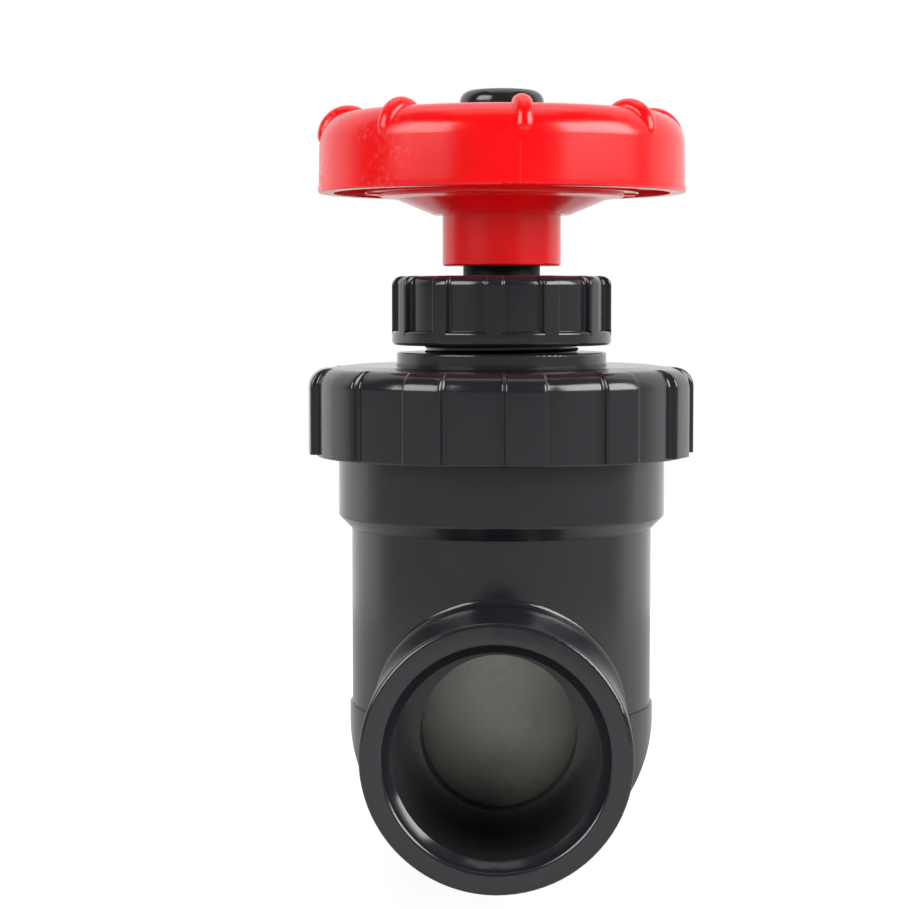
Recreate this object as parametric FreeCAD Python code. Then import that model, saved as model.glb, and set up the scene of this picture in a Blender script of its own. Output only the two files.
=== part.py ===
import FreeCAD, Part
import math
import os

# Plastic gate valve with two solvent-weld sockets, a union-type bonnet and a screwed stem that
# doesn't rise: the handwheel turns the stem, and the stem's nut carries the gate up and down.
# Sizes are in millimetres. Heights are measured from the bore's centre line, and the export
# lifts the whole valve until its lowest point stands at z = 0. The bore runs along Y and the
# stem stands along Z.

V = FreeCAD.Vector
ORIGIN = V(0, 0, 0)
X_AXIS = V(1, 0, 0)
Y_AXIS = V(0, 1, 0)
Z_AXIS = V(0, 0, 1)
FULL_TURN = 360.0
HEX_SIDES = 6
HEX_HALF_DEG = FULL_TURN / HEX_SIDES / 2
OVERSHOOT = 1.0
ON_SURFACE = 0.05

# Pipe and sockets
PIPE_D = 32.0
SOCKET_FIT = 0.1
SOCKET_DEPTH = 22.0
SOCKET_WALL = 4.9
SOCKET_EDGE_R = 0.7
MOUTH_CHAMFER = 2.1
PORT_D = 25.4
STOP_WALL = 3.3

# Gate and the cavity that it slides in
GATE_D = 41.2
GATE_FIT = 0.4
GATE_RIM = 1.2
GATE_FLOOR = 3.0
GATE_BORE_R = 7.0
BOSS_R = 11.0
OPEN_GAP = 0.5
BODY_WALL = 4.4
BOWL_STEP = 0.4
BOWL_TOP = 1.2
BOWL_LIP = 0.53
GUIDE_WIDTH = 4.0
GUIDE_HEIGHT = 2.0
GUIDE_FIT = 0.3

# Seal rings on the gate's two faces
SEAL_LAND = 0.9
SEAL_WIDTH = 1.6
SEAL_DEPTH = 1.2
SEAL_FIT = 0.08
SEAL_ROOM = 0.05

# Body collar that carries the bonnet nut
COLLAR_STEP = 2.2
COLLAR_H = 16.9
COLLAR_EDGE_R = 0.5
SOCKET_ROOT_R = 1.0

# Stem, its nut and its thrust bearing
STEM_R = 6.5
STEM_THREAD_R = 6.0
STEM_RELIEF_R = 5.2
STEM_END_GAP = 0.4
STEM_END_R = 0.6
STEM_COLLAR_R = 8.5
STEM_COLLAR_T = 2.4
STEM_COLLAR_FIT = 0.3
STEM_PLAY = 0.1
THREAD_RUN_OUT = 1.3
RUNNING_FIT = 0.05
BEARING_FIT = 0.1
NUT_SHELF = 0.1
NUT_FLATS = 15.0
NUT_T = 5.5
NUT_FIT = 0.15
CLIP_T = 0.9
CLIP_ROOM = 0.05
CLIP_BITE = 0.8
CLIP_INNER_R = 6.9
CLIP_GAP_DEG = 50.0
CLIP_LIP = 0.6
WASHER_T = 0.8
WASHER_FIT = 0.1
RETAINER_T = 1.2
RETAINER_BITE = 1.0

# Bonnet
POCKET_FIT = 0.6
FLANGE_T = 5.0
FLANGE_FIT = 0.3
SEPTUM_T = 1.8
BONNET_RING_H = 2.2
BONNET_RING_R = 17.75
BONNET_RING_EDGE_R = 0.4
NECK_R = 12.8
NECK_DROP = 1.6
O_RING_R = 0.95

# Bonnet nut
NUT_THREAD_FIT = 0.3
NUT_WALL = 3.6
NUT_OVERLAP = 6.9
NUT_TOP_T = 3.4
NUT_HOLE_FIT = 0.3
NUT_HOLE_EDGE_R = 0.4
NUT_SHOULDER_R = 3.4
PAD_COUNT = 12
PAD_HEIGHT = 1.2
PAD_WIDTH = 6.8
PAD_SINK = 1.0
PAD_EDGE_R = 0.4
PAD_START_DEG = 7.6

# Gland: packing, follower and nut
PACKING_R = 9.15
PACKING_FIT = 0.05
PACKING_T = 1.2
PACKING_COUNT = 3
FOLLOWER_T = 2.4
GLAND_CLEARANCE = 0.3
GLAND_THREAD_FIT = 0.3
GLAND_WALL = 4.3
GLAND_TOP_T = 2.6
GLAND_H = 11.6
GLAND_BAND_H = 2.0
GLAND_BAND_STEP = 0.8
GLAND_BAND_EDGE_R = 0.35
GLAND_EDGE_R = 0.8
GLAND_PAD_EDGE_R = 1.6
GLAND_PAD_COUNT = 12
GLAND_PAD_HEIGHT = 1.2
GLAND_PAD_WIDTH = 3.2
GLAND_PAD_START_DEG = -2.0

# Handwheel
WHEEL_D = 62.0
WHEEL_GAP = 1.7
HUB_R = 10.0
HUB_DROP = 12.2
HUB_RISE = 21.0
HUB_EDGE_R = 0.4
RIM_H = 13.2
RIM_WIDTH = 9.2
RIM_SHOULDER_R = 5.0
RIM_INNER_SHOULDER_R = 3.0
RIM_WALL = 2.6
RIM_DRAFT = 0.25
RIM_LIP_H = 1.0
RIM_LIP_STEP = 0.12
CHANNEL_INNER_EDGE_R = 1.0
CHANNEL_OUTER_EDGE_R = 2.4
WEB_T = 3.4
WEB_DROP = 0.6
WEB_RISE = 3.0
WEB_INSET = 1.1
WEB_FOOT_W = 1.5
WEB_BEND_W = 3.0
WEB_BEND_DROP = 0.4
DISH_INSET = 0.9
DISH_FALL = 2.1
DISH_EDGE_R = 1.0
GRIP_COUNT = 8
GRIP_R = 1.65
GRIP_BEND_R = 3.55
GRIP_STAND = 0.3
GRIP_RISE = 1.4
GRIP_SWEEP_DEG = 132.0
GRIP_START_DEG = 7.8
GUSSET_T = 2.0
GUSSET_RAISE = 0.8
GUSSET_BITE = 0.5
SPOKE_COUNT = 4
SPOKE_T = 2.6
SPOKE_H = 7.6
HUB_ROOF_T = 3.0
DRIVE_FLATS = 9.2
DRIVE_FIT = 0.05
DRIVE_SHY = 0.4

# Wheel screw, washer and cap
SCREW_R = 2.5
SCREW_LENGTH = 14.0
SCREW_FIT = 0.05
SCREW_TIP_R = 0.5
SCREW_HOLE_END = 1.0
SCREW_HEAD_R = 4.6
SCREW_HEAD_H = 3.2
SCREW_HEAD_EDGE_R = 1.2
DRIVER_SLOT_W = 1.2
DRIVER_SLOT_DEPTH = 1.4
WHEEL_WASHER_T = 1.0
WHEEL_WASHER_FIT = 0.2
CAP_R = 7.1
CAP_WALL = 1.1
CAP_H = 8.45
CAP_SHOULDER_R = 2.0
CAP_SEAT = 2.0
CAP_FIT = 0.05

# Sizes that follow from the ones above, out from the bore
SOCKET_R = PIPE_D / 2 + SOCKET_FIT
SOCKET_OUTER_R = SOCKET_R + SOCKET_WALL
PORT_R = PORT_D / 2
GATE_R = GATE_D / 2
CAVITY_R = GATE_R + GATE_FIT
BARREL_R = CAVITY_R + BODY_WALL
BOWL_R = BARREL_R + BOWL_STEP
BOWL_DROP = BOWL_R - SOCKET_OUTER_R - BOWL_LIP
BOWL_CROWN_R = (BOWL_R ** 2 + BOWL_DROP ** 2) / (2 * BOWL_DROP)
STOP_Y = CAVITY_R + STOP_WALL
END_Y = STOP_Y + SOCKET_DEPTH
SEAL_INNER_R = PORT_R + SEAL_LAND
SEAL_OUTER_R = SEAL_INNER_R + SEAL_WIDTH
COLLAR_R = BARREL_R + COLLAR_STEP
NUT_BORE_R = COLLAR_R + NUT_THREAD_FIT
NUT_R = NUT_BORE_R + NUT_WALL
WHEEL_R = WHEEL_D / 2

# and up along the stem
GATE_TOP = SEAL_OUTER_R + GATE_RIM
TRAVEL = GATE_R + PORT_R
BODY_TOP = GATE_TOP + TRAVEL + OPEN_GAP
NUT_Z = GATE_TOP - NUT_SHELF
CLIP_Z = NUT_Z + NUT_T
BOSS_TOP = CLIP_Z + CLIP_T + 2 * CLIP_ROOM + CLIP_LIP
STEM_END = GATE_FLOOR - GATE_R + TRAVEL + STEM_END_GAP
FLANGE_TOP = BODY_TOP + FLANGE_T
POCKET_TOP = BOSS_TOP + TRAVEL + OPEN_GAP
RETAINER_Z = POCKET_TOP + CLIP_LIP
LOWER_WASHER_Z = RETAINER_Z + RETAINER_T
STEM_COLLAR_Z = LOWER_WASHER_Z + WASHER_T + STEM_PLAY
UPPER_WASHER_Z = STEM_COLLAR_Z + STEM_COLLAR_T + STEM_PLAY
SEPTUM_Z = UPPER_WASHER_Z + WASHER_T
PACKING_Z = SEPTUM_Z + SEPTUM_T
FOLLOWER_Z = PACKING_Z + PACKING_COUNT * PACKING_T
GLAND_ROOF = FOLLOWER_Z + FOLLOWER_T
GLAND_TOP = GLAND_ROOF + GLAND_TOP_T
GLAND_Z = GLAND_TOP - GLAND_H
NUT_TOP = FLANGE_TOP + NUT_TOP_T
BONNET_RING_TOP = NUT_TOP + BONNET_RING_H
NECK_TOP = GLAND_ROOF - NECK_DROP
HUB_Z = GLAND_TOP + WHEEL_GAP
HUB_TOP = HUB_Z + HUB_RISE
RIM_Z = HUB_Z + HUB_DROP
CROWN_Z = RIM_Z + RIM_H
GLAND_BORE_R = NECK_R + GLAND_THREAD_FIT
GLAND_R = GLAND_BORE_R + GLAND_WALL
STEM_BORE_R = STEM_COLLAR_R + STEM_COLLAR_FIT
NUT_POCKET_R = (NUT_FLATS / 2 + NUT_FIT) / math.cos(math.radians(HEX_HALF_DEG))

# and inside the handwheel
RIM_INNER_R = WHEEL_R - RIM_WIDTH
CHANNEL_INNER_R = RIM_INNER_R + RIM_WALL / 2
CHANNEL_OUTER_R = WHEEL_R - RIM_WALL
CHANNEL_TOP = CROWN_Z - RIM_WALL
WEB_TOP = RIM_Z - WEB_DROP + WEB_T
DISH_Z = WEB_TOP - DISH_FALL
SOCKET_ROOF = HUB_TOP - HUB_ROOF_T


def outline(corners):
    """A closed outline in the XZ plane. A corner is (x, z), or (x, z, radius) to round it."""
    count = len(corners)
    starts = []
    ends = []
    arcs = []
    for i in range(count):
        here = V(corners[i][0], 0, corners[i][1])
        radius = corners[i][2] if len(corners[i]) > 2 else 0.0
        if radius == 0.0:
            starts.append(here)
            ends.append(here)
            arcs.append(None)
            continue
        before = corners[i - 1]
        after = corners[(i + 1) % count]
        back = V(before[0], 0, before[1]).sub(here).normalize()
        ahead = V(after[0], 0, after[1]).sub(here).normalize()
        half = back.getAngle(ahead) / 2
        reach = radius / math.tan(half)
        middle = back.add(ahead).normalize()
        centre = here.add(middle * (radius / math.sin(half)))
        starts.append(here.add(back * reach))
        ends.append(here.add(ahead * reach))
        arcs.append(centre.sub(middle * radius))
    edges = []
    for i in range(count):
        if arcs[i] is not None:
            edges.append(Part.Arc(starts[i], arcs[i], ends[i]).toShape())
        edges.append(Part.makeLine(ends[i], starts[(i + 1) % count]))
    return Part.Face(Part.Wire(edges))


def turned(corners):
    """A solid of revolution about Z from an outline given as (radius, height) corners."""
    return outline(corners).revolve(ORIGIN, Z_AXIS, FULL_TURN)


def rod(radius, low, high):
    """A round bar along Z between two heights."""
    return Part.makeCylinder(radius, high - low, V(0, 0, low))


def ring(inner, outer, low, high):
    """A flat ring about Z between two heights."""
    return rod(outer, low, high).cut(rod(inner, low, high))


def bar_y(radius, low, high):
    """A round bar along Y on the bore's centre line."""
    return Part.makeCylinder(radius, high - low, V(0, low, 0), Y_AXIS)


def block(half_x, half_y, low, high):
    """A block centred on the stem between two heights."""
    return Part.makeBox(2 * half_x, 2 * half_y, high - low, V(-half_x, -half_y, low))


def hexagon(flats, low, high):
    """A hexagonal bar along Z, given by its size across flats."""
    corner = flats / 2 / math.cos(math.radians(HEX_HALF_DEG))
    points = []
    for i in range(HEX_SIDES + 1):
        angle = math.radians(2 * HEX_HALF_DEG * i)
        points.append(V(corner * math.cos(angle), corner * math.sin(angle), low))
    return Part.Face(Part.makePolygon(points)).extrude(V(0, 0, high - low))


def copies(shape, count, start=0.0):
    """Copies of a shape turned evenly about Z, the first one by the start angle."""
    turned_copies = []
    for i in range(count):
        one = shape.copy()
        one.rotate(ORIGIN, Z_AXIS, start + FULL_TURN * i / count)
        turned_copies.append(one)
    return turned_copies


def mirrored_y(shape):
    """The same shape on the other side of the stem, along the bore."""
    return shape.mirror(ORIGIN, Y_AXIS)


def one_solid(shape):
    """The single solid that a fused or cut shape holds."""
    solids = shape.removeSplitter().Solids
    if len(solids) != 1:
        raise ValueError("expected one solid and found %d" % len(solids))
    return solids[0]


def crowned_bar(radius, crown_r):
    """A bar along Y whose back is slightly crowned: widest at the stem, thinner to its ends."""
    reach = radius
    drop = crown_r - math.sqrt(crown_r ** 2 - reach ** 2)
    end = radius - drop
    arc = Part.Arc(V(0, -reach, -end), V(0, 0, -radius), V(0, reach, -end)).toShape()
    edges = [
        Part.makeLine(V(0, -reach, 0), V(0, -reach, -end)),
        arc,
        Part.makeLine(V(0, reach, -end), V(0, reach, 0)),
        Part.makeLine(V(0, reach, 0), V(0, -reach, 0)),
    ]
    return Part.Face(Part.Wire(edges)).revolve(ORIGIN, Y_AXIS, FULL_TURN)


def u_column(radius, crown_r, top):
    """An upright round column whose lower end is rounded about the bore's centre line."""
    lower = crowned_bar(radius, crown_r).common(rod(radius, -radius, 0))
    return lower.fuse(rod(radius, 0, top))


def edges_near(shape, test):
    """The edges whose middle point passes the test."""
    chosen = []
    for edge in shape.Edges:
        middle = edge.valueAt((edge.FirstParameter + edge.LastParameter) / 2)
        if test(middle):
            chosen.append(edge)
    return chosen


def socket_outside():
    """The outside of the front socket, from the stem to its rounded end."""
    corners = [
        (0, 0),
        (SOCKET_OUTER_R, 0),
        (SOCKET_OUTER_R, END_Y, SOCKET_EDGE_R),
        (0, END_Y),
    ]
    shape = turned(corners)
    shape.rotate(ORIGIN, X_AXIS, 90)
    return shape


def socket_bore():
    """The space in the front socket: chamfered mouth, pipe seat and stop."""
    corners = [
        (0, STOP_Y),
        (SOCKET_R, STOP_Y),
        (SOCKET_R, END_Y - MOUTH_CHAMFER),
        (SOCKET_R + MOUTH_CHAMFER, END_Y),
        (SOCKET_R + MOUTH_CHAMFER, END_Y + OVERSHOOT),
        (0, END_Y + OVERSHOOT),
    ]
    shape = turned(corners)
    shape.rotate(ORIGIN, X_AXIS, 90)
    return shape


def on_socket_root(point):
    """Whether a point lies where a socket leaves the barrel, above the bowl."""
    on_socket = abs(math.hypot(point.x, point.z) - SOCKET_OUTER_R) < ON_SURFACE
    inboard = abs(point.y) < STOP_Y + SOCKET_DEPTH / 2
    return on_socket and inboard and point.z > BOWL_TOP + ON_SURFACE


def body_shell():
    """The body's outside: bowl, barrel, flared collar and the two sockets."""
    bowl = u_column(BOWL_R, BOWL_CROWN_R, BOWL_TOP)
    collar_z = BODY_TOP - COLLAR_H
    barrel = turned([
        (0, 0),
        (BARREL_R, 0),
        (BARREL_R, collar_z - COLLAR_STEP),
        (COLLAR_R, collar_z, COLLAR_EDGE_R),
        (COLLAR_R, BODY_TOP, COLLAR_EDGE_R),
        (0, BODY_TOP),
    ])
    front = socket_outside()
    shell = bowl.fuse([barrel, front, mirrored_y(front)]).removeSplitter()
    return shell.makeFillet(SOCKET_ROOT_R, edges_near(shell, on_socket_root))


def guide_keys(half_width, inner_r, outer_r, low, high):
    """Two upright keys on the cavity's sides, across the bore."""
    width = 2 * half_width
    right = Part.makeBox(outer_r - inner_r, width, high - low, V(inner_r, -half_width, low))
    left = right.mirror(ORIGIN, X_AXIS)
    return [right, left]


def valve_body():
    """The moulded body with its cavity, ports, sockets and the bonnet seal's groove."""
    shell = body_shell()
    crown = BOWL_CROWN_R - (BOWL_R - CAVITY_R)
    cavity = u_column(CAVITY_R, crown, BODY_TOP)
    key_inner = CAVITY_R - GUIDE_HEIGHT
    key_outer = CAVITY_R + OVERSHOOT
    cavity = cavity.cut(guide_keys(GUIDE_WIDTH / 2, key_inner, key_outer, 0, BODY_TOP))
    front = socket_bore()
    ports = bar_y(PORT_R, -STOP_Y - OVERSHOOT, STOP_Y + OVERSHOOT)
    groove_r = (CAVITY_R + COLLAR_R) / 2
    groove = ring(groove_r - O_RING_R, groove_r + O_RING_R, BODY_TOP - 2 * O_RING_R, BODY_TOP)
    spaces = [cavity, ports, front, mirrored_y(front), groove]
    return one_solid(shell.cut(spaces))


def gate_outside():
    """The gate's outside: a round plug with a U-shaped foot and a boss on top."""
    crown = BOWL_CROWN_R - (BOWL_R - GATE_R)
    plug = u_column(GATE_R, crown, GATE_TOP)
    return plug.fuse(rod(BOSS_R, 0, BOSS_TOP))


def seal_tube(extra):
    """A tube along the bore, as wide as a seal ring and a little room around it."""
    outer = bar_y(SEAL_OUTER_R + extra, -CAVITY_R, 0)
    return outer.cut(bar_y(SEAL_INNER_R - extra, -CAVITY_R, 0))


def gate_plug():
    """The gate: bored for the stem, pocketed for its nut and grooved for keys and seals."""
    gate = gate_outside()
    cuts = [
        rod(GATE_BORE_R, GATE_FLOOR - GATE_R, NUT_Z),
        hexagon(NUT_FLATS + 2 * NUT_FIT, NUT_Z, BOSS_TOP),
        rod(NUT_POCKET_R + CLIP_BITE, CLIP_Z, BOSS_TOP - CLIP_LIP),
    ]
    key_inner = CAVITY_R - GUIDE_HEIGHT - GUIDE_FIT
    half = GUIDE_WIDTH / 2 + GUIDE_FIT
    cuts.extend(guide_keys(half, key_inner, CAVITY_R, -GATE_R, GATE_TOP))
    groove = seal_tube(SEAL_ROOM).cut(rod(GATE_R - SEAL_DEPTH, -GATE_R, GATE_TOP))
    cuts.extend([groove, mirrored_y(groove)])
    return one_solid(gate.cut(cuts))


def gate_seal():
    """The front seal ring, which stands out of its groove to the cavity's wall."""
    reach = rod(CAVITY_R - SEAL_FIT, -GATE_R, GATE_TOP)
    floor = rod(GATE_R - SEAL_DEPTH + SEAL_ROOM, -GATE_R, GATE_TOP)
    return one_solid(seal_tube(0).common(reach.cut(floor)))


def gate_nut():
    """The hexagonal stem nut that the gate carries in its boss."""
    bore = STEM_THREAD_R + RUNNING_FIT
    return hexagon(NUT_FLATS, NUT_Z, CLIP_Z).cut(rod(bore, NUT_Z, CLIP_Z))


def split_ring(inner, outer, low, high, gap_deg):
    """A spring ring with a gap that faces the front."""
    whole = ring(inner, outer, low, high)
    half = math.radians(gap_deg / 2)
    side = outer * 2
    corners = [
        V(0, 0, low),
        V(-side * math.sin(half), -side * math.cos(half), low),
        V(side * math.sin(half), -side * math.cos(half), low),
        V(0, 0, low),
    ]
    wedge = Part.Face(Part.makePolygon(corners)).extrude(V(0, 0, high - low))
    return one_solid(whole.cut(wedge))


def gate_nut_circlip():
    """The spring ring that keeps the stem nut in the gate's boss."""
    outer = NUT_POCKET_R + CLIP_BITE - CLIP_ROOM
    low = CLIP_Z + CLIP_ROOM
    return split_ring(CLIP_INNER_R, outer, low, low + CLIP_T, CLIP_GAP_DEG)


def stem():
    """The stem: screwed foot, thrust collar, round shank and square drive."""
    thread_top = CLIP_Z + TRAVEL + THREAD_RUN_OUT
    drive_top = SOCKET_ROOF - DRIVE_SHY
    shaft = turned([
        (0, STEM_END),
        (STEM_THREAD_R, STEM_END, STEM_END_R),
        (STEM_THREAD_R, thread_top),
        (STEM_RELIEF_R, thread_top),
        (STEM_RELIEF_R, STEM_COLLAR_Z),
        (STEM_COLLAR_R, STEM_COLLAR_Z),
        (STEM_COLLAR_R, STEM_COLLAR_Z + STEM_COLLAR_T),
        (STEM_R, STEM_COLLAR_Z + STEM_COLLAR_T),
        (STEM_R, HUB_Z),
        (0, HUB_Z),
    ])
    half = DRIVE_FLATS / 2
    drive = block(half, half, HUB_Z, drive_top).common(rod(STEM_R, HUB_Z, drive_top))
    hole_end = HUB_TOP - SCREW_LENGTH - SCREW_HOLE_END
    tapped = rod(SCREW_R + SCREW_FIT, hole_end, drive_top)
    return one_solid(shaft.fuse(drive).cut(tapped))


def thrust_washer(low):
    """A flat bearing washer beside the stem's collar."""
    return ring(STEM_R + WASHER_FIT, STEM_BORE_R - WASHER_FIT, low, low + WASHER_T)


def stem_retainer_ring():
    """The spring ring in the bonnet that holds the stem's collar up."""
    outer = STEM_BORE_R + RETAINER_BITE - CLIP_ROOM
    low = RETAINER_Z
    return split_ring(STEM_R + WASHER_FIT, outer, low, low + RETAINER_T, CLIP_GAP_DEG)


def bonnet():
    """The bonnet: clamped flange, shoulder ring, screwed neck and the stepped stem bore."""
    outside = turned([
        (0, BODY_TOP),
        (NUT_BORE_R - FLANGE_FIT, BODY_TOP, BONNET_RING_EDGE_R),
        (NUT_BORE_R - FLANGE_FIT, FLANGE_TOP, BONNET_RING_EDGE_R),
        (BONNET_RING_R, FLANGE_TOP),
        (BONNET_RING_R, BONNET_RING_TOP, BONNET_RING_EDGE_R),
        (NECK_R, BONNET_RING_TOP),
        (NECK_R, NECK_TOP, BONNET_RING_EDGE_R),
        (0, NECK_TOP),
    ])
    bore = turned([
        (0, BODY_TOP),
        (BOSS_R + POCKET_FIT, BODY_TOP),
        (BOSS_R + POCKET_FIT, POCKET_TOP),
        (STEM_BORE_R, POCKET_TOP),
        (STEM_BORE_R, RETAINER_Z),
        (STEM_BORE_R + RETAINER_BITE, RETAINER_Z),
        (STEM_BORE_R + RETAINER_BITE, RETAINER_Z + RETAINER_T),
        (STEM_BORE_R, RETAINER_Z + RETAINER_T),
        (STEM_BORE_R, SEPTUM_Z),
        (STEM_R + BEARING_FIT, SEPTUM_Z),
        (STEM_R + BEARING_FIT, PACKING_Z),
        (PACKING_R, PACKING_Z),
        (PACKING_R, NECK_TOP),
        (0, NECK_TOP),
    ])
    return one_solid(outside.cut(bore))


def bonnet_o_ring():
    """The round-section ring between the body's rim and the bonnet."""
    groove_r = (CAVITY_R + COLLAR_R) / 2
    return Part.makeTorus(groove_r, O_RING_R, V(0, 0, BODY_TOP - O_RING_R))


def bonnet_nut_profile(radius, shoulder):
    """Half of the bonnet nut's outer section at one outside radius."""
    low = BODY_TOP - NUT_OVERLAP
    return [
        (NUT_BORE_R, low),
        (radius, low, PAD_EDGE_R),
        (radius, NUT_TOP, shoulder),
        (BONNET_RING_R + NUT_HOLE_FIT, NUT_TOP, NUT_HOLE_EDGE_R),
        (BONNET_RING_R + NUT_HOLE_FIT, FLANGE_TOP),
        (NUT_BORE_R, FLANGE_TOP),
    ]


def bonnet_nut():
    """The union nut: a domed cap nut with twelve grip pads that run over its shoulder."""
    nut = turned(bonnet_nut_profile(NUT_R, NUT_SHOULDER_R))
    pad_r = NUT_R + PAD_HEIGHT
    full = turned(bonnet_nut_profile(pad_r, NUT_SHOULDER_R + PAD_HEIGHT))
    low = BODY_TOP - NUT_OVERLAP
    slab = Part.makeBox(PAD_WIDTH, pad_r, NUT_TOP - low, V(-PAD_WIDTH / 2, -pad_r, low))
    pad = full.common(slab).cut(rod(NUT_R - PAD_SINK, low, NUT_TOP))

    def on_pad_side(point):
        beside = abs(abs(point.x) - PAD_WIDTH / 2) < ON_SURFACE
        return beside and math.hypot(point.x, point.y) > NUT_R and point.z > low + PAD_EDGE_R

    pad = pad.makeFillet(PAD_EDGE_R, edges_near(pad, on_pad_side))
    return one_solid(nut.fuse(copies(pad, PAD_COUNT, PAD_START_DEG)))


def packing_ring(index):
    """One square-section ring of stem packing."""
    low = PACKING_Z + index * PACKING_T
    return ring(STEM_R + RUNNING_FIT, PACKING_R - PACKING_FIT, low, low + PACKING_T)


def gland_follower():
    """The sleeve that the gland nut presses on the packing."""
    inner = STEM_R + GLAND_CLEARANCE
    return ring(inner, PACKING_R - PACKING_FIT, FOLLOWER_Z, GLAND_ROOF)


def gland_nut():
    """The gland nut: a low cap nut with twelve short grip pads above a plain band."""
    band_r = GLAND_R + GLAND_BAND_STEP
    band_top = GLAND_Z + GLAND_BAND_H
    nut = turned([
        (GLAND_BORE_R, GLAND_Z),
        (band_r, GLAND_Z, GLAND_EDGE_R),
        (band_r, band_top, GLAND_BAND_EDGE_R),
        (GLAND_R, band_top),
        (GLAND_R, GLAND_TOP, GLAND_EDGE_R),
        (STEM_R + GLAND_CLEARANCE, GLAND_TOP),
        (STEM_R + GLAND_CLEARANCE, GLAND_ROOF),
        (GLAND_BORE_R, GLAND_ROOF),
    ])
    low = band_top - GLAND_BAND_EDGE_R
    pad_r = GLAND_R + GLAND_PAD_HEIGHT
    root_r = GLAND_R - GLAND_EDGE_R
    crown = turned([
        (root_r - PAD_SINK, low),
        (pad_r, low),
        (pad_r, GLAND_TOP, GLAND_PAD_EDGE_R),
        (root_r - PAD_SINK, GLAND_TOP),
    ])
    width = GLAND_PAD_WIDTH
    slab = Part.makeBox(width, pad_r, GLAND_TOP - low, V(-width / 2, -pad_r, low))
    pad = crown.common(slab)
    return one_solid(nut.fuse(copies(pad, GLAND_PAD_COUNT, GLAND_PAD_START_DEG)))


def grip_rib():
    """One round bead bent over the rim's shoulder, in the plane that faces the front."""
    centre_r = WHEEL_R - RIM_DRAFT - GRIP_BEND_R - GRIP_R + GRIP_STAND
    centre_z = CROWN_Z + GRIP_RISE - GRIP_BEND_R - GRIP_R
    bend = V(0, -centre_r, centre_z)
    start = bend.add(V(0, -GRIP_BEND_R, 0))
    section = Part.Wire(Part.makeCircle(GRIP_R, start, Z_AXIS))
    bead = Part.Face(section).revolve(bend, V(-1, 0, 0), GRIP_SWEEP_DEG)
    angle = math.radians(GRIP_SWEEP_DEG)
    tip = bend.add(V(0, -GRIP_BEND_R * math.cos(angle), GRIP_BEND_R * math.sin(angle)))
    return bead.fuse([Part.makeSphere(GRIP_R, start), Part.makeSphere(GRIP_R, tip)])


def wheel_section():
    """The handwheel's turned section: hub, bowl-shaped web and a rim hollow from below."""
    web_z = RIM_Z - WEB_DROP
    web_r = RIM_INNER_R - WEB_INSET
    wall_top_r = WHEEL_R - RIM_LIP_STEP - RIM_DRAFT
    return turned([
        (0, HUB_Z),
        (HUB_R, HUB_Z, HUB_EDGE_R),
        (HUB_R, web_z - WEB_RISE),
        (HUB_R + WEB_FOOT_W, web_z - WEB_RISE),
        (web_r - WEB_BEND_W, web_z - WEB_BEND_DROP),
        (web_r, web_z, HUB_EDGE_R),
        (web_r, RIM_Z),
        (CHANNEL_INNER_R, RIM_Z),
        (CHANNEL_INNER_R, CHANNEL_TOP, CHANNEL_INNER_EDGE_R),
        (CHANNEL_OUTER_R, CHANNEL_TOP, CHANNEL_OUTER_EDGE_R),
        (CHANNEL_OUTER_R, RIM_Z),
        (WHEEL_R, RIM_Z, HUB_EDGE_R),
        (WHEEL_R, RIM_Z + RIM_LIP_H),
        (WHEEL_R - RIM_LIP_STEP, RIM_Z + RIM_LIP_H),
        (wall_top_r, CROWN_Z, RIM_SHOULDER_R),
        (RIM_INNER_R, CROWN_Z, RIM_INNER_SHOULDER_R),
        (RIM_INNER_R - DISH_INSET, WEB_TOP, DISH_EDGE_R),
        (HUB_R, DISH_Z, DISH_EDGE_R),
        (HUB_R - RIM_DRAFT, HUB_TOP, HUB_EDGE_R),
        (0, HUB_TOP),
    ])


def rim_gusset():
    """One upright wall across the hollow rim, under a grip rib."""
    return Part.makeBox(
        GUSSET_T,
        CHANNEL_OUTER_R - CHANNEL_INNER_R + 2 * GUSSET_BITE,
        CHANNEL_TOP + GUSSET_BITE - RIM_Z - GUSSET_RAISE,
        V(-GUSSET_T / 2, -CHANNEL_OUTER_R - GUSSET_BITE, RIM_Z + GUSSET_RAISE),
    )


def spoke():
    """One upright spoke on the dish, between the hub and the rim."""
    return Part.makeBox(
        SPOKE_T,
        RIM_INNER_R - HUB_R + 2 * OVERSHOOT,
        SPOKE_H,
        V(-SPOKE_T / 2, -RIM_INNER_R - OVERSHOOT, DISH_Z - OVERSHOOT),
    )


def handwheel():
    """The moulded handwheel: ribbed rim, spoked dish, hub with a square drive and cap seat."""
    extras = copies(grip_rib(), GRIP_COUNT, GRIP_START_DEG)
    extras.extend(copies(rim_gusset(), GRIP_COUNT, GRIP_START_DEG))
    extras.extend(copies(spoke(), SPOKE_COUNT, GRIP_START_DEG))
    wheel = wheel_section().fuse(extras)
    half = DRIVE_FLATS / 2 + DRIVE_FIT
    corners = rod(STEM_R + DRIVE_FIT, HUB_Z, SOCKET_ROOF)
    socket = block(half, half, HUB_Z, SOCKET_ROOF).common(corners)
    screw_hole = rod(SCREW_R + SCREW_FIT, SOCKET_ROOF, HUB_TOP)
    seat = ring(CAP_R - CAP_WALL - CAP_FIT, CAP_R + CAP_FIT, HUB_TOP - CAP_SEAT, HUB_TOP)
    return one_solid(wheel.cut([socket, screw_hole, seat]))


def wheel_washer():
    """The washer under the wheel screw's head."""
    outer = CAP_R - CAP_WALL - WHEEL_WASHER_FIT
    return ring(SCREW_R + SCREW_FIT, outer, HUB_TOP, HUB_TOP + WHEEL_WASHER_T)


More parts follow.
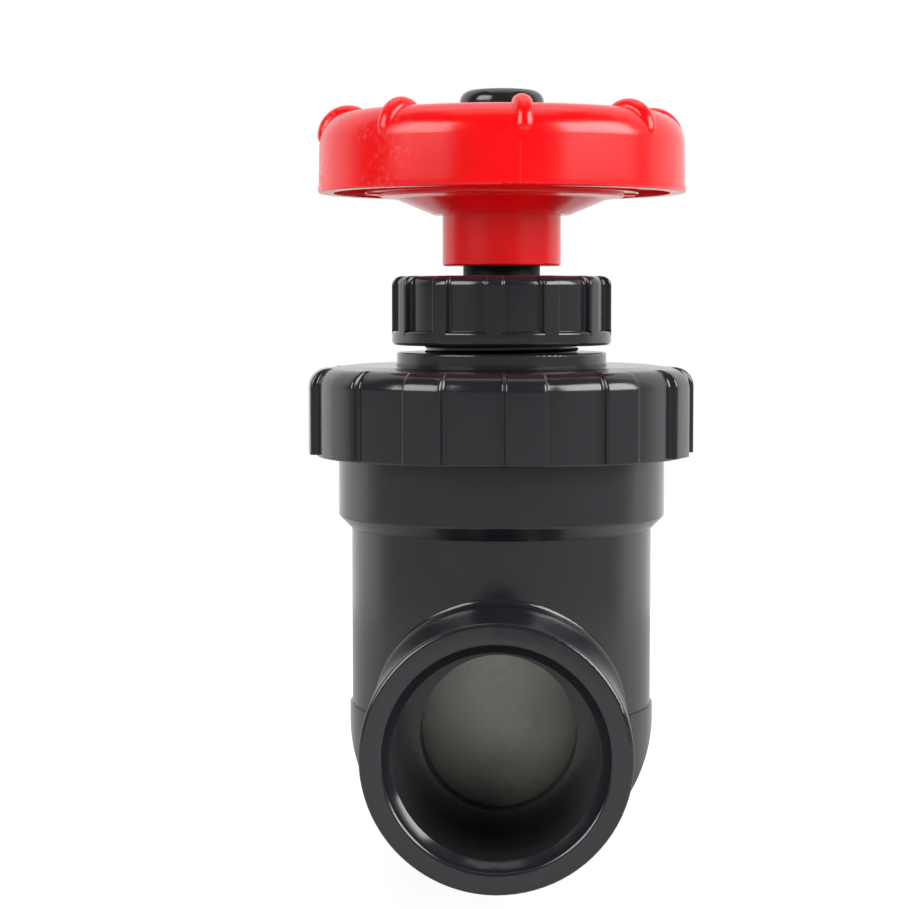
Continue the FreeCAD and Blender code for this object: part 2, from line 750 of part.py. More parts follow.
def wheel_screw():
    """The pan-head screw that holds the wheel down on the stem."""
    seat = HUB_TOP + WHEEL_WASHER_T
    top = seat + SCREW_HEAD_H
    screw = turned([
        (0, HUB_TOP - SCREW_LENGTH),
        (SCREW_R, HUB_TOP - SCREW_LENGTH, SCREW_TIP_R),
        (SCREW_R, seat),
        (SCREW_HEAD_R, seat),
        (SCREW_HEAD_R, top, SCREW_HEAD_EDGE_R),
        (0, top),
    ])
    slot = block(SCREW_HEAD_R, DRIVER_SLOT_W / 2, top - DRIVER_SLOT_DEPTH, top)
    return one_solid(screw.cut(slot))


def wheel_cap():
    """The round cap that covers the wheel screw, seated in the hub's ring groove."""
    low = HUB_TOP - CAP_SEAT
    top = HUB_TOP + CAP_H
    inner = CAP_R - CAP_WALL
    return turned([
        (inner, low),
        (CAP_R, low),
        (CAP_R, top, CAP_SHOULDER_R),
        (0, top),
        (0, top - CAP_WALL),
        (inner, top - CAP_WALL, CAP_SHOULDER_R - CAP_WALL),
    ])


def all_pieces():
    """Every node's name with its solid."""
    front_seal = gate_seal()
    pieces = {
        "valve_body": valve_body(),
        "gate_plug": gate_plug(),
        "gate_seal_front": front_seal,
        "gate_seal_rear": mirrored_y(front_seal),
        "gate_nut": gate_nut(),
        "gate_nut_circlip": gate_nut_circlip(),
        "stem": stem(),
        "thrust_washer_lower": thrust_washer(LOWER_WASHER_Z),
        "thrust_washer_upper": thrust_washer(UPPER_WASHER_Z),
        "stem_retainer_ring": stem_retainer_ring(),
        "bonnet": bonnet(),
        "bonnet_o_ring": bonnet_o_ring(),
        "bonnet_nut": bonnet_nut(),
        "gland_follower": gland_follower(),
        "gland_nut": gland_nut(),
        "handwheel": handwheel(),
        "wheel_washer": wheel_washer(),
        "wheel_screw": wheel_screw(),
        "wheel_cap": wheel_cap(),
    }
    for index in range(PACKING_COUNT):
        pieces["packing_ring_%d" % (index + 1)] = packing_ring(index)
    return pieces


def main():
    """Write one STEP file for each piece, with the valve's lowest point at z = 0."""
    os.makedirs("parts", exist_ok=True)
    for name, shape in all_pieces().items():
        if not shape.isValid():
            raise ValueError("%s is not a valid solid" % name)
        lifted = shape.copy()
        lifted.translate(V(0, 0, BOWL_R))
        lifted.exportStep("parts/%s.step" % name)
        print("%s: volume %.1f mm3" % (name, lifted.Volume))


main()
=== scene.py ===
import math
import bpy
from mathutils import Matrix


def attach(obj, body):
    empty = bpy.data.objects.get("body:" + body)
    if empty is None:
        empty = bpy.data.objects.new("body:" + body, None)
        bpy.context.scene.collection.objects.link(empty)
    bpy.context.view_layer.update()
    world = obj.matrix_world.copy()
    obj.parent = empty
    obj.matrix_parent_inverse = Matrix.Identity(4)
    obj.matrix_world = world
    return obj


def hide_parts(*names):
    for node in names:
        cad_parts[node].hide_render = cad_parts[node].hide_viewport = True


bl_info = {
    "name": "Plastic gate valve",
    "version": (1, 0, 0),
    "blender": (4, 5, 0),
    "location": "View3D > Sidebar > Gate valve",
    "description": "Dresses the packed gate valve and sets up its studio",
    "category": "Object",
}

import bmesh
import bpy
from bpy.props import FloatProperty, FloatVectorProperty, IntProperty, PointerProperty
from mathutils import Vector

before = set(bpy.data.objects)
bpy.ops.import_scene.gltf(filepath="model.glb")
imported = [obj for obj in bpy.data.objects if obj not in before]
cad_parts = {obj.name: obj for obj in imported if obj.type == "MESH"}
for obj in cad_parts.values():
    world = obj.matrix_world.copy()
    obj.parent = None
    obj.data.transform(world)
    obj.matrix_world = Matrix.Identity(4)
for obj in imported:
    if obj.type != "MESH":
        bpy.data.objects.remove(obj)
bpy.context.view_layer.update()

MM = 0.001


# Properties

def length(name, description, millimetres):
    """A length that the panel shows in scene units."""
    return FloatProperty(
        name=name,
        description=description,
        default=millimetres * MM,
        precision=5,
        unit="LENGTH",
    )


def share(name, description, value):
    """A number between 0 and 1."""
    return FloatProperty(
        name=name,
        description=description,
        default=value,
        min=0.0,
        max=1.0,
        subtype="FACTOR",
    )


def colour(name, description, value):
    """A colour with linear red, green and blue."""
    return FloatVectorProperty(
        name=name,
        description=description,
        default=value,
        size=3,
        min=0.0,
        max=1.0,
        subtype="COLOR",
    )


def angle(name, description, degrees):
    """An angle that the panel shows in degrees."""
    return FloatProperty(
        name=name,
        description=description,
        default=math.radians(degrees),
        subtype="ANGLE",
    )


def amount(name, description, value, least=0.0):
    """A number without an upper end."""
    return FloatProperty(name=name, description=description, default=value, min=least)


def count(name, description, value, least):
    """A whole number."""
    return IntProperty(name=name, description=description, default=value, min=least)


class FinishSettings(bpy.types.PropertyGroup):
    """Colours and gloss of the valve's finishes."""

    grey: colour("Grey", "Dark grey of the moulded body and nuts", (0.013, 0.0145, 0.017))
    grey_roughness: share("Grey roughness", "Roughness of the grey mouldings", 0.17)
    red: colour("Red", "Red of the handwheel", (0.86, 0.002, 0.004))
    red_roughness: share("Red roughness", "Roughness of the handwheel", 0.20)
    gate: colour("Gate", "Beige grey of the gate", (0.72, 0.70, 0.63))
    stem: colour("Stem", "Near black of the stem", (0.005, 0.005, 0.006))
    # The rubber black also paints the neck thread, as painted shade in the gap under the packing
    # nut
    rubber: colour("Rubber", "Black of the seals, also the painted shade of the neck thread", (0.006, 0.006, 0.006))
    packing: colour("Packing", "Grey of the stem packing", (0.09, 0.085, 0.075))
    washer: colour("Washer", "Natural white of the plastic washers", (0.62, 0.60, 0.55))
    brass: colour("Brass", "Brass of the stem nut", (0.60, 0.40, 0.13))
    steel: colour("Steel", "Steel of the screw and the spring rings", (0.52, 0.52, 0.53))


class BodySettings(bpy.types.PropertyGroup):
    """Sizes of the socket mouths."""

    bore_height: length("Bore height", "Height of the bore's axis above the floor", 25.8)
    mouth: length("Mouth", "Distance of the socket mouths from the stem", 46.3)
    chamfer: length("Chamfer", "Radius of the chamfer's outer edge as packed", 18.2)
    lip: length("Lip", "Radius of the mouth's outer edge as moulded", 17.6)
    lip_edge: length("Lip edge", "Rounding of the mouth's outer edge", 0.45)


class BonnetNutSettings(bpy.types.PropertyGroup):
    """Sizes of the union nut that holds the bonnet down."""

    bore: length("Bore", "Radius of the threaded bore", 27.9)
    radius: length("Radius", "Radius of the wall between the pads", 31.5)
    hole: length("Hole", "Radius of the hole in the top", 18.05)
    low: length("Foot", "Height of the lower rim above the floor", 69.1)
    roof: length("Roof", "Height of the inside of the top", 81.0)
    top: length("Top", "Height of the top", 84.4)
    crown: length("Crown", "Radius at which the top starts to fall", 25.5)
    crown_fall: length("Crown fall", "How far the top falls to its edge", 0.8)
    shoulder: length("Shoulder", "Rounding of the shoulder", 3.1)
    pad_height: length("Pad height", "How far the pads stand out", 1.2)
    pad_edge: length("Pad edge", "Rounding of the pads' edges", 0.5)
    pads: count("Pads", "Number of grip pads", 12, 3)
    pad_start: angle("Pad start", "Place of the first pad, right of the front", 7.8)


class StemThreadSettings(bpy.types.PropertyGroup):
    """Sizes of the left-hand screw thread on the stem's foot."""

    root: length("Root", "Radius at the bottom of the thread's groove", 5.25)
    crest: length("Crest", "Radius of the stem's foot", 6.0)
    low: length("Start", "Height at which the groove starts, below the stem", 38.6)
    pitch: length("Lead", "Rise of the thread in one turn", 4.0)
    turns: count("Turns", "Turns of the groove", 11, 1)


class NeckThreadSettings(bpy.types.PropertyGroup):
    """Sizes of the screw thread on the bonnet's neck."""

    root: length("Root", "Radius at the foot of the thread, inside the neck", 12.6)
    crest: length("Crest", "Radius over the thread", 13.06)
    low: length("Start", "Height at which the thread starts", 85.6)
    pitch: length("Pitch", "Rise of the thread in one turn", 1.0)
    turns: count("Turns", "Turns of the thread", 8, 1)


class GlandNutSettings(bpy.types.PropertyGroup):
    """Sizes of the nut that presses on the stem packing."""

    bore: length("Bore", "Radius of the threaded bore", 13.1)
    band: length("Band", "Radius of the plain band at the foot", 18.55)
    radius: length("Radius", "Radius of the wall between the pads", 17.4)
    hole: length("Hole", "Radius of the hole for the stem", 6.8)
    low: length("Foot", "Height of the lower rim above the floor", 87.8)
    band_top: length("Band top", "Height of the band's upper edge", 90.2)
    cove: length("Cove", "Height of the slope above the band", 0.12)
    roof: length("Roof", "Height of the inside of the top", 96.8)
    top: length("Top", "Height of the top", 99.4)
    shoulder: length("Shoulder", "Rounding of the shoulder", 1.6)
    ledge: length("Ledge", "Rounding of the band's upper edge", 0.55)
    pad_foot: length("Pad foot", "How far the pads run down over the band", 0.9)
    pad_height: length("Pad height", "How far the pads stand out", 1.2)
    pad_edge: length("Pad edge", "Rounding of the pads' edges", 0.3)
    pads: count("Pads", "Number of grip pads", 12, 3)
    pad_start: angle("Pad start", "Place of the first pad, right of the front", -2.75)


class StudioSettings(bpy.types.PropertyGroup):
    """Floor, lamps and camera."""

    camera_x: length("Camera X", "Camera position to the right of the stem", 6.21)
    camera_y: length("Camera Y", "Camera position along the bore", -395.83)
    camera_z: length("Camera height", "Camera height above the floor", 96.08)
    yaw: angle("Camera yaw", "How far the camera turns to the left", 2.053)
    pitch: angle("Camera pitch", "How far the camera looks down", 3.895)
    lens: amount("Focal length", "Focal length in millimetres on a 36 mm sensor", 92.307, 1.0)
    softbox_distance: length("Softbox distance", "Distance of the side softboxes", 1200)
    softbox_height: length("Softbox height", "Height of the side softboxes", 820)
    softbox_base: length("Softbox base", "Height of the softboxes' lower edge", 300)
    left_angle: angle("Left softbox angle", "Angle of the left softbox from the camera", 51)
    left_width: length("Left softbox width", "Width of the left softbox", 860)
    right_angle: angle("Right softbox angle", "Angle of the right softbox from the camera", 65)
    right_width: length("Right softbox width", "Width of the right softbox", 1170)
    left_brightness: amount("Left brightness", "Left softbox's power per square metre", 19.5)
    right_brightness: amount("Right brightness", "Right softbox's power per square metre", 25.5)
    top_power: amount("Top power", "Power of the softbox above the valve", 2.0)
    floor_radius: length("Floor radius", "Radius of the pale floor", 320)
    room_light: share("Room light", "Light from above on the camera's side of the room", 0.08)
    table_light: share("Table light", "Light from below on the camera's side of the room", 0.45)
    backdrop_light: share("Backdrop light", "Light from the white backdrop", 1.0)


# Node helpers

def feed(tree, socket, value):
    """Links an output to an input, or gives the input a fixed value."""
    if isinstance(value, bpy.types.NodeSocket):
        tree.links.new(value, socket)
    else:
        socket.default_value = value


def add_node(tree, kind, label, settings=None, values=None):
    """Adds a node, sets its attributes and feeds its inputs by name."""
    node = tree.nodes.new(kind)
    node.label = label
    for name, value in (settings or {}).items():
        setattr(node, name, value)
    for name, value in (values or {}).items():
        feed(tree, node.inputs[name], value)
    return node


def maths(tree, operation, label, *values):
    """The result of a Math node, whose inputs are fed in order."""
    node = add_node(tree, "ShaderNodeMath", label, {"operation": operation})
    for socket, value in zip(node.inputs, values):
        feed(tree, socket, value)
    return node.outputs["Value"]


def remap(tree, value, low, high, to_low, to_high, label):
    """A value carried from one range to another and held inside it."""
    values = {
        "Value": value,
        "From Min": low,
        "From Max": high,
        "To Min": to_low,
        "To Max": to_high,
    }
    node = add_node(tree, "ShaderNodeMapRange", label, {"clamp": True}, values)
    return node.outputs["Result"]


def object_place(tree):
    """The piece's Object coordinates."""
    return add_node(tree, "ShaderNodeTexCoord", "Coordinates").outputs["Object"]


def object_axes(tree):
    """The piece's Object coordinates, axis by axis."""
    values = {"Vector": object_place(tree)}
    return add_node(tree, "ShaderNodeSeparateXYZ", "Axes", values=values).outputs


def new_tree(owner):
    """The emptied node tree of a material or a world."""
    owner.use_nodes = True
    owner.node_tree.nodes.clear()
    return owner.node_tree


def add_output(tree, kind, shown):
    """Ends a tree with its output node."""
    add_node(tree, kind, "Output", values={"Surface": shown})


def new_group(name, inputs, outputs):
    """A node group with a vector and named numbers as inputs, and its two ends."""
    group = bpy.data.node_groups.new(name, "ShaderNodeTree")
    group.interface.new_socket("Vector", in_out="INPUT", socket_type="NodeSocketVector")
    for label, value in inputs.items():
        socket = group.interface.new_socket(label, in_out="INPUT", socket_type="NodeSocketFloat")
        socket.default_value = value
    for label in outputs:
        group.interface.new_socket(label, in_out="OUTPUT", socket_type="NodeSocketFloat")
    start = group.nodes.new("NodeGroupInput")
    end = group.nodes.new("NodeGroupOutput")
    return group, start.outputs, end.inputs


def place_group(tree, group, label, values):
    """Places a node group on the piece's Object coordinates."""
    inputs = {"Vector": object_place(tree), **values}
    return add_node(tree, "ShaderNodeGroup", label, {"node_tree": group}, inputs)


# Shared effects

NOISE_ROUGHNESS = 0.55
NOISE_MIDDLE = 0.5
PEEL_SCALE = 220.0
PEEL_DETAIL = 2.0
GRAIN_SCALE = 2600.0
GRAIN_DETAIL = 3.0
GRAIN_HEIGHT = 0.12
CLOUD_SCALE = 60.0
CLOUD_DETAIL = 4.0
CLOUD_ENDS = (0.3, 0.7)
TINT_ENDS = (0.90, 1.10)
SKIN_ROUGHNESS = 0.3
SKIN_SPREAD = 0.08
PATCH_SCALE = 45.0
PATCH_DETAIL = 2.0
PATCH_EDGES = (0.42, 0.60)
MARK_SCALE = 520.0
MARK_DETAIL = 5.0
MARK_EDGES = (0.46, 0.66)
SCUFF_AMOUNT = 0.5


def noise(tree, vector, scale, detail, label):
    """A noise texture's value, with its scale in features per metre."""
    values = {"Vector": vector, "Scale": scale, "Detail": detail, "Roughness": NOISE_ROUGHNESS}
    return add_node(tree, "ShaderNodeTexNoise", label, values=values).outputs["Fac"]


def moulded_skin_group():
    """Moulded plastic: faint orange peel, fine grain and uneven gloss."""
    name = "moulded_skin"
    if name in bpy.data.node_groups:
        return bpy.data.node_groups[name]
    inputs = {
        "Peel Scale": PEEL_SCALE,
        "Grain Scale": GRAIN_SCALE,
        "Base Roughness": SKIN_ROUGHNESS,
        "Roughness Spread": SKIN_SPREAD,
    }
    group, given, result = new_group(name, inputs, ["Tint", "Roughness", "Height"])
    place = given["Vector"]
    peel = noise(group, place, given["Peel Scale"], PEEL_DETAIL, "Orange peel")
    grain = noise(group, place, given["Grain Scale"], GRAIN_DETAIL, "Grain")
    cloud = noise(group, place, CLOUD_SCALE, CLOUD_DETAIL, "Cloud")
    tint = remap(group, cloud, *CLOUD_ENDS, *TINT_ENDS, "Tint")
    feed(group, result["Tint"], tint)
    centred = maths(group, "SUBTRACT", "Centre", cloud, NOISE_MIDDLE)
    spread, base = given["Roughness Spread"], given["Base Roughness"]
    roughness = maths(group, "MULTIPLY_ADD", "Spread", centred, spread, base)
    feed(group, result["Roughness"], roughness)
    height = maths(group, "MULTIPLY_ADD", "Height", grain, GRAIN_HEIGHT, peel)
    feed(group, result["Height"], height)
    return group


def scuff_group():
    """Handling scuffs: small marks that gather in patches."""
    name = "handling_scuffs"
    if name in bpy.data.node_groups:
        return bpy.data.node_groups[name]
    inputs = {"Patch Scale": PATCH_SCALE, "Mark Scale": MARK_SCALE, "Amount": SCUFF_AMOUNT}
    group, given, result = new_group(name, inputs, ["Mask"])
    place = given["Vector"]
    patch = noise(group, place, given["Patch Scale"], PATCH_DETAIL, "Patches")
    marks = noise(group, place, given["Mark Scale"], MARK_DETAIL, "Marks")
    patches = remap(group, patch, *PATCH_EDGES, 0.0, 1.0, "Patch edges")
    spots = remap(group, marks, *MARK_EDGES, 0.0, 1.0, "Mark edges")
    both = maths(group, "MULTIPLY", "Marks in patches", patches, spots)
    mask = maths(group, "MULTIPLY", "Amount", both, given["Amount"])
    feed(group, result["Mask"], mask)
    return group


# Finishes

USUAL_SPECULAR = 0.5
SKIN_RELIEF = 0.08
MOULDED_RELIEF = 0.10
RELIEF_DEPTH = 0.1 * MM
SCUFF_DULLNESS = 0.35
GREY_SPECULAR = 0.65
GREY_PEEL = 240.0
RED_PEEL = 200.0
RED_SCUFF = (0.87, 0.05, 0.05)
RED_PATCH_SCALE = 90.0
RED_MARK_SCALE = 1100.0
SCUFF_LEFT = -20 * MM
SCUFF_RIGHT = -12 * MM
MOST_SCUFFS = 0.7
FEWEST_SCUFFS = 0.05
MOULD_LINE_X = 3.4 * MM
MOULD_LINE_HALF = 0.12 * MM
MOULD_LINE_SHARE = 0.30
MOULD_LINE_FADE = 1 * MM
RIM_FRONT = -28 * MM
RIM_SHOULDER = 120.5 * MM
GATE_ROUGHNESS = 0.55
GATE_PEEL = 180.0
GATE_SCUFFS = 0.25
# Colour of the gate's silt marks, also laid on as painted shade towards the gate's foot, then the
# heights and share of that painted shade
SILT_AND_SHADE = (0.045, 0.038, 0.030)
FOOT_SHADE_LOW = 13.5 * MM
FOOT_SHADE_HIGH = 26 * MM
FOOT_SHADE_SHARE = 0.85
STEM_ROUGHNESS = 0.5
STEM_SPECULAR = 0.2
# Gloss of the black neck thread, which is painted shade in the gap under the packing nut
THREAD_SHADE_ROUGHNESS = 0.6
THREAD_SHADE_SPECULAR = 0.15
RUBBER_ROUGHNESS = 0.6
PACKING_ROUGHNESS = 0.75
WASHER_ROUGHNESS = 0.4
BRASS_ROUGHNESS = 0.28
STEEL_ROUGHNESS = 0.25
METAL_SPREAD = 0.16
TOOL_MARK_SCALE = 900.0
TOOL_MARK_WANDER = 0.6
TOOL_MARK_RELIEF = 0.15
TOOL_MARK_DEPTH = 0.02 * MM


def surface(material):
    """The shader of a finish."""
    return material.node_tree.nodes["Principled BSDF"]


def add_relief(material, height, strength, depth):
    """Feeds a height to a finish's normal."""
    tree = material.node_tree
    values = {"Strength": strength, "Distance": depth, "Height": height}
    bump = add_node(tree, "ShaderNodeBump", "Bump", values=values)
    feed(tree, surface(material).inputs["Normal"], bump.outputs["Normal"])


def paint_over(material, mask, paint, label):
    """Lays a colour over a finish's own by a mask."""
    tree = material.node_tree
    target = surface(material).inputs["Base Color"]
    values = {"Factor": mask, "A": target.links[0].from_socket, "B": (*paint, 1.0)}
    mix = add_node(tree, "ShaderNodeMix", label, {"data_type": "RGBA"}, values)
    feed(tree, target, mix.outputs["Result"])


def add_scuffs(material, scuff_colour, values):
    """Lays handling scuffs over a finish, in their own colour and duller."""
    tree = material.node_tree
    mask = place_group(tree, scuff_group(), "Scuffs", values).outputs["Mask"]
    paint_over(material, mask, scuff_colour, "Scuffed colour")
    target = surface(material).inputs["Roughness"]
    gloss = target.links[0].from_socket
    dull = maths(tree, "MULTIPLY_ADD", "Scuffed gloss", mask, SCUFF_DULLNESS, gloss)
    feed(tree, target, dull)


def uneven_material(name, base, values):
    """A material with uneven colour and gloss, and the skin node that makes them."""
    material = bpy.data.materials.new(name)
    tree = new_tree(material)
    skin = place_group(tree, moulded_skin_group(), "Skin", values)
    tint = add_node(tree, "ShaderNodeVectorMath", "Uneven colour", {"operation": "SCALE"})
    feed(tree, tint.inputs[0], base)
    feed(tree, tint.inputs["Scale"], skin.outputs["Tint"])
    inputs = {"Base Color": tint.outputs["Vector"], "Roughness": skin.outputs["Roughness"]}
    shader = add_node(tree, "ShaderNodeBsdfPrincipled", "Surface", values=inputs)
    add_output(tree, "ShaderNodeOutputMaterial", shader.outputs["BSDF"])
    return material, skin


def plastic(name, base, roughness, specular=USUAL_SPECULAR, peel=PEEL_SCALE, relief=SKIN_RELIEF):
    """A moulded or turned plastic with faint orange peel."""
    skin_values = {"Base Roughness": roughness, "Peel Scale": peel}
    material, skin = uneven_material(name, base, skin_values)
    surface(material).inputs["Specular IOR Level"].default_value = specular
    add_relief(material, skin.outputs["Height"], relief, RELIEF_DEPTH)
    return material


def grey_plastic(settings):
    """Dark grey rigid plastic of the body, bonnet, nuts and cap."""
    name = "grey_plastic"
    if name in bpy.data.materials:
        return bpy.data.materials[name]
    grey, roughness = tuple(settings.grey), settings.grey_roughness
    return plastic(name, grey, roughness, GREY_SPECULAR, GREY_PEEL, MOULDED_RELIEF)


def red_plastic(settings):
    """Glossy red plastic of the handwheel, scuffed on its left and with a faint mould line."""
    red, roughness = tuple(settings.red), settings.red_roughness
    material = plastic("red_plastic", red, roughness, peel=RED_PEEL, relief=MOULDED_RELIEF)
    tree = material.node_tree
    axes = object_axes(tree)
    scuff_ends = (SCUFF_LEFT, SCUFF_RIGHT, MOST_SCUFFS, FEWEST_SCUFFS)
    scuffs = {
        "Amount": remap(tree, axes["X"], *scuff_ends, "More scuffs on the left"),
        "Patch Scale": RED_PATCH_SCALE,
        "Mark Scale": RED_MARK_SCALE,
    }
    add_scuffs(material, RED_SCUFF, scuffs)
    line = maths(tree, "COMPARE", "Mould line", axes["X"], MOULD_LINE_X, MOULD_LINE_HALF)
    front_ends = (RIM_FRONT, RIM_FRONT + MOULD_LINE_FADE, MOULD_LINE_SHARE, 0.0)
    front = remap(tree, axes["Y"], *front_ends, "On the front of the rim")
    rim_ends = (RIM_SHOULDER - MOULD_LINE_FADE, RIM_SHOULDER, front, 0.0)
    rim = remap(tree, axes["Z"], *rim_ends, "Below the rim's shoulder")
    seam = maths(tree, "MULTIPLY", "Mould line on the rim", line, rim)
    paint_over(material, seam, RED_SCUFF, "Colour with mould line")
    return material


def gate_plastic(settings):
    """Beige grey plastic of the gate with scattered silt marks, and painted shade that darkens it
    towards its foot.
    """
    beige = tuple(settings.gate)
    material = plastic("gate_plastic", beige, GATE_ROUGHNESS, peel=GATE_PEEL, relief=MOULDED_RELIEF)
    add_scuffs(material, SILT_AND_SHADE, {"Amount": GATE_SCUFFS})
    tree = material.node_tree
    height = object_axes(tree)["Z"]
    # Painted shade: the colour darkens towards the gate's foot, standing in for the shadow inside
    # the socket
    foot_shade = remap(tree, height, FOOT_SHADE_LOW, FOOT_SHADE_HIGH, FOOT_SHADE_SHARE, 0.0, "Painted shade by height")
    paint_over(material, foot_shade, SILT_AND_SHADE, "Colour with painted shade")
    return material


def machined_metal(name, base, roughness):
    """A turned metal with fine tool marks round the stem's axis."""
    skin_values = {"Base Roughness": roughness, "Roughness Spread": METAL_SPREAD}
    material = uneven_material(name, base, skin_values)[0]
    surface(material).inputs["Metallic"].default_value = 1.0
    tree = material.node_tree
    settings = {"wave_type": "RINGS", "rings_direction": "Z"}
    values = {
        "Vector": object_place(tree),
        "Scale": TOOL_MARK_SCALE,
        "Distortion": TOOL_MARK_WANDER,
    }
    rings = add_node(tree, "ShaderNodeTexWave", "Tool marks", settings, values)
    add_relief(material, rings.outputs["Fac"], TOOL_MARK_RELIEF, TOOL_MARK_DEPTH)
    return material


def dress(nodes, material):
    """Gives CAD nodes a finish through their material slots."""
    for name in nodes:
        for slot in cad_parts[name].material_slots:
            slot.link = "OBJECT"
            slot.material = material


# Modelling helpers

FULL_TURN = 2 * math.pi
ON_AXIS = (0, 0, 0)
UPWARDS = (0, 0, 1)
SPIN_STEPS = 120
ROUND_STEPS = 5
EDGE_STEPS = 3
THREAD_STEPS = 48
ROUND_PROFILE = 0.5
RIGHT_HAND = 1
LEFT_HAND = -1
SAME_POINT = 0.001 * MM
SAME_PLACE = 0.02 * MM
SAME_BEARING = math.radians(0.05)
NUT_SMOOTHING = math.radians(35)
COPY_SMOOTHING = math.radians(30)


def select_only(obj):
    """Leaves one object selected and active."""
    bpy.ops.object.select_all(action="DESELECT")
    obj.select_set(True)
    bpy.context.view_layer.objects.active = obj


def pick(obj, kind, test):
    """Selects the vertices, edges or faces of a piece that pass a test."""
    bpy.ops.mesh.select_mode(type=kind)
    bpy.ops.mesh.select_all(action="DESELECT")
    mesh = bmesh.from_edit_mesh(obj.data)
    parts = {"VERT": mesh.verts, "EDGE": mesh.edges, "FACE": mesh.faces}[kind]
    chosen = [part for part in parts if test(part)]
    if not chosen:
        raise RuntimeError("nothing to select on %s" % obj.name)
    for part in chosen:
        part.select_set(True)
    bmesh.update_edit_mesh(obj.data)


def off_axis(point):
    """How far a point lies from the stem's axis."""
    return math.hypot(point.x, point.y)


def section_point(corner, bearing):
    """The place of a section's corner, given by its radius and height."""
    radius, height = corner[:2]
    return Vector((radius * math.cos(bearing), radius * math.sin(bearing), height))


def corner_reach(before, here, after, radius):
    """How far from a corner its rounding starts."""
    back = Vector((before[0] - here[0], before[1] - here[1]))
    ahead = Vector((after[0] - here[0], after[1] - here[1]))
    return radius / math.tan(back.angle(ahead) / 2)


def start_section(name, corners, bearing):
    """Starts a piece in edit mode as a flat face beside the stem's axis, corner by corner."""
    bpy.ops.object.select_all(action="DESELECT")
    bpy.ops.mesh.primitive_circle_add(vertices=len(corners), radius=MM, fill_type="NGON")
    obj = bpy.context.object
    obj.name = name
    bpy.ops.object.mode_set(mode="EDIT")
    for index, corner in enumerate(corners):
        pick(obj, "VERT", lambda vertex: vertex.index == index)
        here = bmesh.from_edit_mesh(obj.data).verts[:][index].co
        bpy.ops.transform.translate(value=section_point(corner, bearing) - here)
    return obj


def round_corners(obj, corners, bearing):
    """Rounds the corners of a section that have a radius."""
    for index, corner in enumerate(corners):
        radius = corner[2]
        if radius == 0.0:
            continue
        place = section_point(corner, bearing)
        after = corners[(index + 1) % len(corners)]
        reach = corner_reach(corners[index - 1], corner, after, radius)
        pick(obj, "VERT", lambda vertex: (vertex.co - place).length < SAME_PLACE)
        bpy.ops.mesh.bevel(
            offset=reach,
            segments=ROUND_STEPS,
            profile=ROUND_PROFILE,
            affect="VERTICES",
            clamp_overlap=False,
        )


def round_edges(radius):
    """Rounds the selected edges."""
    bpy.ops.mesh.bevel(offset=radius, segments=EDGE_STEPS, profile=ROUND_PROFILE, affect="EDGES")


def open_section():
    """Takes the face out of a section and selects its outline."""
    bpy.ops.mesh.select_all(action="SELECT")
    bpy.ops.mesh.delete(type="ONLY_FACE")
    bpy.ops.mesh.select_all(action="SELECT")


def close_piece():
    """Merges doubled vertices and turns the faces outwards, in edit mode."""
    bpy.ops.mesh.select_all(action="SELECT")
    bpy.ops.mesh.remove_doubles(threshold=SAME_POINT)
    bpy.ops.mesh.normals_make_consistent(inside=False)


def turned_piece(name, corners, bearing):
    """Spins a rounded section about the stem's axis into a closed piece, in edit mode."""
    obj = start_section(name, corners, bearing)
    round_corners(obj, corners, bearing)
    open_section()
    bpy.ops.mesh.spin(steps=SPIN_STEPS, angle=FULL_TURN, center=ON_AXIS, axis=UPWARDS)
    close_piece()
    return obj


def thread_corners(settings, outer, at_root, at_outer):
    """A thread's section, with its heights as shares of the pitch above the start."""
    low, pitch = settings.low, settings.pitch
    return [
        (settings.root, low + at_root[0] * pitch),
        (outer, low + at_outer[0] * pitch),
        (outer, low + at_outer[1] * pitch),
        (settings.root, low + at_root[1] * pitch),
    ]


def thread_piece(name, corners, settings, hand):
    """Sweeps a section up the stem's axis into a closed screw thread, in edit mode."""
    obj = start_section(name, corners, 0.0)
    open_section()
    rise = settings.pitch / THREAD_STEPS
    turn = hand * FULL_TURN / THREAD_STEPS
    for _ in range(settings.turns * THREAD_STEPS):
        bpy.ops.mesh.extrude_edges_move()
        bpy.ops.transform.rotate(value=-turn, orient_axis="Z", center_override=ON_AXIS)
        bpy.ops.transform.translate(value=(0, 0, rise))
    bpy.ops.mesh.edge_face_add()
    top = max(corner[1] for corner in corners) + SAME_PLACE

    def on_start(vertex):
        return abs(vertex.co.y) < SAME_PLACE and vertex.co.x > 0 and vertex.co.z < top

    pick(obj, "VERT", on_start)
    bpy.ops.mesh.edge_face_add()
    return obj


def merged_copy(node_name, name):
    """A closed copy of a CAD node's mesh, in edit mode."""
    obj = bpy.data.objects.new(name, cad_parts[node_name].data.copy())
    bpy.context.collection.objects.link(obj)
    select_only(obj)
    bpy.ops.mesh.customdata_custom_splitnormals_clear()
    bpy.ops.object.mode_set(mode="EDIT")
    close_piece()
    return obj


def cut_away(obj, cutter):
    """Cuts one object out of another, in object mode, and deletes the cutter."""
    select_only(obj)
    bpy.ops.object.modifier_add(type="BOOLEAN")
    modifier = obj.modifiers[-1]
    modifier.operation = "DIFFERENCE"
    modifier.solver = "EXACT"
    modifier.object = cutter
    bpy.ops.object.modifier_apply(modifier=modifier.name)
    select_only(cutter)
    bpy.ops.object.delete()


def settle_normals(obj):
    """Lets the large faces of a piece lead its shading, in object mode."""
    bpy.ops.object.modifier_add(type="WEIGHTED_NORMAL")
    modifier = obj.modifiers[-1]
    modifier.keep_sharp = True
    bpy.ops.object.modifier_apply(modifier=modifier.name)


